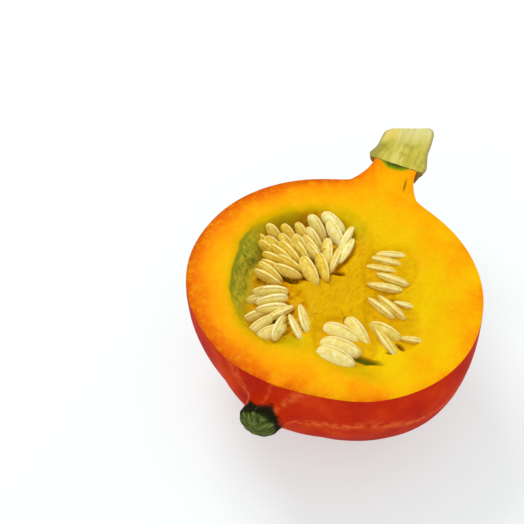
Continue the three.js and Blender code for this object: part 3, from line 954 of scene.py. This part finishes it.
def flesh_material():
    """Orange flesh at the rim, yellow inside, green and wet in the hollows at the left."""
    s = Shader("flesh")
    where = s.place()
    along = s.value("along")
    from_rim = s.value("from_rim")
    edge = s.value("hollow_edge")
    depth = s.value("depth")
    x = s.add("SeparateXYZ", {0: where}).outputs[0]
    cloud = s.noise(where, 17, 3.0)
    grain = s.noise(where, 0.9, 3.0, 0.7)
    lumps = s.noise(where, 3.4, 3.0)

    # From the skin inwards, with a wavering edge, and more orange on the left flank.
    reach = s.between(from_rim, 0.0, 12.0, 0.0, 16.0)
    wavering = s.sum(from_rim, s.times(s.sum(cloud, -0.5), reach))
    wavering = s.sum(wavering, s.between(x, -60.0, 30.0, -3.0, 4.0))
    wavering = s.sum(wavering, s.between(along, -35.0, -66.0, 0.0, -4.0))
    inward = s.times(s.larger(s.times(from_rim, 0.35), wavering), 1 / 40)
    colour = s.ramp(inward, [
        (0.0, "#C84400"), (0.02, "#E46200"), (0.06, "#F07E00"), (0.15, "#F79800"),
        (0.30, "#F6AA00"), (0.5, "#EEB400"), (0.75, "#E8BA00"), (1.0, "#DEAC00"),
    ])
    lemon = s.times(s.between(cloud, 0.3, 0.7), s.between(x, -10.0, 45.0, 0.05, 0.6))
    colour = s.blend(lemon, colour, linear("#F2D200"))
    colour = s.blend(s.between(lumps, 0.4, 0.75, 0.0, 0.3), colour, linear("#F6BE00"))
    colour = s.blend(s.between(grain, 0.52, 0.78, 0.0, 0.35), colour, linear("#FFD21A"))
    colour = s.blend(s.between(grain, 0.45, 0.25, 0.0, 0.3), colour, linear("#D08000"))

    # The pulp between the hollows is stringy and a little darker.
    strings = s.noise(s.place((1, 0.35, 1)), 1.5, 4.0, 0.65, 1.2)
    pulp = s.between(from_rim, 24.0, 36.0)
    stringy = s.times(pulp, s.between(strings, 0.46, 0.7, 0.1, 0.75))
    colour = s.blend(stringy, colour, linear("#C48800"))

    # A green halo follows the outer edge of the hollows on the left.
    left = s.between(x, -4.0, -22.0)
    halo = s.times(left, s.between(s.sum(edge, s.times(lumps, 5.0)), 8.0, -1.0))
    colour = s.blend(s.times(halo, 0.85), colour, linear("#C2AC00"))

    # In the hollows: gold under the seeds, olive and speckled dark green along the left wall.
    y = s.add("SeparateXYZ", {0: where}).outputs[1]
    wall = s.times(s.between(x, -32.0, -42.0), s.between(edge, -10.0, -4.0))
    low_left = s.between(s.sum(y, s.times(x, 0.35)), -10.0, -24.0)
    wall = s.times(wall, low_left)
    speckle = s.noise(where, 2.6, 3.0, 0.6)
    moss = s.ramp(speckle, [(0.3, "#5A7020"), (0.42, "#9A9E2C"), (0.6, "#CABA30")])
    bed = s.ramp(lumps, [(0.3, "#B07800"), (0.5, "#D49800"), (0.7, "#E8B400")])
    slope = s.times(s.between(x, -24.0, -36.0), s.between(edge, -11.0, -4.0))
    bed = s.blend(slope, bed, linear("#C4A80C"))
    bed = s.blend(wall, bed, moss)
    colour = s.blend(s.between(depth, 0.6, 2.6), colour, bed)
    line = s.times(s.between(edge, -1.2, -0.2), s.between(edge, 1.3, 0.3))
    line = s.times(s.times(line, low_left), s.between(x, -34.0, -44.0))
    colour = s.blend(s.times(line, 0.7), colour, linear("#64801E"))

    # Slits in the pulp, and the green crescent and streak in the neck.
    shade = s.times(s.value("shade"), s.between(lumps, 0.25, 0.75, 0.25, 0.75))
    colour = s.blend(shade, colour, linear("#B4A400"))
    colour = s.blend(s.value("brown"), colour, linear("#7A4200"))
    colour = s.blend(s.value("green"), colour, linear("#5E5E0A"))
    bulge = s.times(s.times(x, x), -0.055)
    up = s.sum(s.sum(along, bulge), s.times(s.sum(lumps, -0.5), 1.5))
    to_stem = s.between(up, 62.0, 66.2)
    green = s.ramp(to_stem, [(0.0, "#B8A004"), (0.4, "#7E8C12"), (0.95, "#3A5004")])
    crescent = s.times(s.between(up, 61.6, 63.4), s.between(from_rim, 1.2, 3.2))
    colour = s.blend(crescent, colour, green)

    height = s.sum(s.times(grain, 0.5), s.times(lumps, 0.8))
    rough = s.sum(s.times(grain, 0.25), 0.27)
    return s.finish(
        colour, height, 0.16, rough,
        Specular_IOR_Level=0.02, Subsurface_Weight=0.05, Subsurface_Scale=0.002,
    )


def stem_skin_material():
    """Dry ribbed cork, olive to tan, darker in the furrows."""
    s = Shader("stem_skin")
    where = s.place()
    up = s.value("up")
    streaks = s.noise(s.place((1, 0.16, 1)), 1.8, 4.0, 0.65)
    fine = s.noise(where, 0.8, 3.0, 0.7)
    colour = s.ramp(streaks, [(0.3, "#6E6428"), (0.5, "#A39748"), (0.68, "#C9BC78")])
    colour = s.blend(s.between(up, 0.5, 0.0, 0.0, 0.55), colour, linear("#8C8432"))
    colour = s.blend(s.between(fine, 0.5, 0.75, 0.0, 0.5), colour, linear("#D8CDA0"))
    height = s.sum(streaks, s.times(fine, 0.4))
    return s.finish(colour, height, 0.35, 0.78, Specular_IOR_Level=0.1)


def stem_cut_material():
    """The cut face of the stem: pale yellow-green, streaked along its length."""
    s = Shader("stem_cut")
    where = s.place()
    up = s.value("up")
    across = s.value("across")
    streaks = s.noise(s.place((1, 0.14, 1)), 2.6, 4.0, 0.6, 0.4)
    patches = s.noise(where, 5.5, 3.0)
    fine = s.noise(where, 0.7, 3.0, 0.7)
    colour = s.ramp(streaks, [(0.3, "#ACA02A"), (0.48, "#C4B846"), (0.66, "#D8CC6A")])
    colour = s.blend(s.between(patches, 0.5, 0.68, 0.0, 0.5), colour, linear("#9C9226"))
    colour = s.blend(s.between(up, 0.45, 0.95, 0.0, 0.6), colour, linear("#E8E2A0"))
    warm = s.times(s.between(across, -0.2, -0.6), s.between(up, 0.45, 0.75))
    colour = s.blend(s.times(warm, 0.5), colour, linear("#E3C640"))
    lobe = s.times(s.between(across, -0.55, -0.8), s.between(up, 0.62, 0.4))
    colour = s.blend(s.times(lobe, 0.7), colour, linear("#8E8630"))
    skin = s.larger(s.between(across, 0.86, 0.98), s.between(across, -0.88, -0.98))
    colour = s.blend(s.times(skin, 0.75), colour, linear("#A08A56"))
    colour = s.blend(s.between(fine, 0.55, 0.75, 0.0, 0.4), colour, linear("#F0EBB4"))
    height = s.sum(streaks, s.times(fine, 0.5))
    return s.finish(colour, height, 0.2, 0.6, Specular_IOR_Level=0.1)


def seed_material():
    """Wet cream skin over a plump kernel, with a paler ridge and a darker groove near the edge."""
    s = Shader("seed_skin")
    where = s.place()
    to_edge = s.value("to_edge")
    fine = s.noise(where, 2.0, 3.0, 0.5)
    film = s.noise(where, 4.0, 3.0)
    yellow = s.ramp(fine, [(0.3, "#D8AA0C"), (0.5, "#EAC61E"), (0.7, "#F6DE48")])
    cream = s.ramp(fine, [(0.3, "#F0DC74"), (0.5, "#F8EE9C"), (0.7, "#FFFACC")])
    colour = s.blend(s.value("tone"), yellow, cream)
    groove = s.times(s.between(to_edge, 0.72, 0.84), s.between(to_edge, 0.94, 0.86))
    colour = s.blend(s.times(groove, 0.5), colour, linear("#B88410"))
    colour = s.blend(s.between(to_edge, 0.93, 1.0, 0.0, 0.4), colour, linear("#FBF2C0"))
    ends = s.between(s.value("lengthwise"), 0.86, 1.0)
    colour = s.blend(s.times(ends, 0.4), colour, linear("#C0902A"))
    colour = s.blend(s.between(film, 0.52, 0.7, 0.0, 0.3), colour, linear("#E8B818"))
    rough = s.between(film, 0.35, 0.65, 0.22, 0.45)
    return s.finish(
        colour, fine, 0.06, rough,
        Specular_IOR_Level=0.12, Subsurface_Weight=0.06, Subsurface_Scale=0.002,
        Coat_Weight=0.08, Coat_Roughness=0.15,
    )


def fibre_material():
    """Wet threads of pulp, from yellow to yellow-green."""
    s = Shader("pulp_fibre")
    fine = s.noise(s.place(), 1.6, 3.0)
    gold = s.ramp(fine, [(0.3, "#E0A80C"), (0.6, "#F4CC2C")])
    green = s.ramp(fine, [(0.3, "#B4A81C"), (0.6, "#D2C638")])
    colour = s.blend(s.value("tint"), gold, green)
    return s.finish(colour, fine, 0.05, 0.4, Specular_IOR_Level=0.05)


def floor_material():
    s = Shader("floor")
    mottle = s.noise(s.place(), 60, 2.0)
    colour = s.ramp(mottle, [(0.3, "#BBC6C6"), (0.7, "#BDC8C8")])
    s.feed(s.surface, {"Emission Color": (1, 1, 1, 1), "Emission Strength": 0.46})
    return s.finish(colour, roughness=0.9, Specular_IOR_Level=0.0)


# Floor, light and camera

def add_floor():
    mesh = bpy.data.meshes.new("floor")
    corners = [(x * FLOOR_SIZE, y * FLOOR_SIZE, 0) for x, y in ((-1, -1), (1, -1), (1, 1), (-1, 1))]
    mesh.from_pydata(corners, [], [(0, 1, 2, 3)])
    mesh.materials.append(floor_material())
    floor = bpy.data.objects.new("floor", mesh)
    bpy.context.scene.collection.objects.link(floor)
    floor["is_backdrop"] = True


def add_light(name, at, size, power):
    """A square soft light that looks at the middle of the fruit."""
    data = bpy.data.lights.new(name, "AREA")
    data.size = size
    data.energy = power
    lamp = bpy.data.objects.new(name, data)
    lamp.location = at
    lamp.rotation_euler = Vector(at).to_track_quat("Z", "Y").to_euler()
    bpy.context.scene.collection.objects.link(lamp)


def add_surroundings():
    world = bpy.data.worlds.new("studio")
    world.use_nodes = True
    background = world.node_tree.nodes["Background"]
    background.inputs["Color"].default_value = (1, 1, 1, 1)
    background.inputs["Strength"].default_value = SURROUNDING_LIGHT
    scene = bpy.context.scene
    scene.world = world
    scene.view_settings.view_transform = "Standard"
    for lamp in LAMPS:
        add_light(**lamp)


def add_camera():
    data = bpy.data.cameras.new("camera")
    data.sensor_width = SENSOR
    data.lens = SENSOR * FOCAL_PIXELS / PHOTO_PIXELS
    data.clip_end = FARTHEST_SEEN
    azimuth = math.radians(VIEW_AZIMUTH)
    elevation = math.radians(VIEW_ELEVATION)
    away = Vector((
        math.sin(azimuth) * math.cos(elevation),
        -math.cos(azimuth) * math.cos(elevation),
        math.sin(elevation),
    ))
    camera = bpy.data.objects.new("camera", data)
    aim = Vector(((np.array(VIEW_AIM) + SHIFT) * MM).tolist())
    camera.location = aim + away * VIEW_DISTANCE * MM
    camera.rotation_euler = away.to_track_quat("Z", "Y").to_euler()
    bpy.context.scene.collection.objects.link(camera)
    bpy.context.scene.camera = camera


def frame_shift():
    """From fruit coordinates to the frame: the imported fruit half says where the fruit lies."""
    low, high = (np.array(corner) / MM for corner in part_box("fruit_half"))
    y = fruit_stations()[:, None]
    drop = core_depth(y)
    tall = girth(y) * flatness(y)
    turn = np.linspace(0, 2 * math.pi, FIT_SIDES + 1)[None]
    z = tall * np.sin(turn) - drop
    x = np.where(z <= 0, girth(y) * np.cos(turn), 0)
    x = bend_fruit(x, np.broadcast_to(y, x.shape), np.minimum(z, 0))[..., 0]
    middle = (x.min() + x.max()) / 2
    return np.array([(low[0] + high[0]) / 2 - middle, low[1] - BUTTON_END, high[2]])


SHIFT = frame_shift()
build_fruit([rind_material(), flesh_material()])
build_stem([stem_skin_material(), stem_cut_material()])
seed_skin = seed_material()
for bunch in BUNCHES:
    build_seeds(bunch, seed_skin)
threads = fibre_material()
for bunch in BUNCHES:
    if "fibres" in bunch:
        build_fibres(bunch, threads)
add_floor()
add_surroundings()
add_camera()

boxes = {"cad": CAD_BOX, "visual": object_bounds()}
plain = {name: [list(corner) for corner in box] for name, box in boxes.items()}
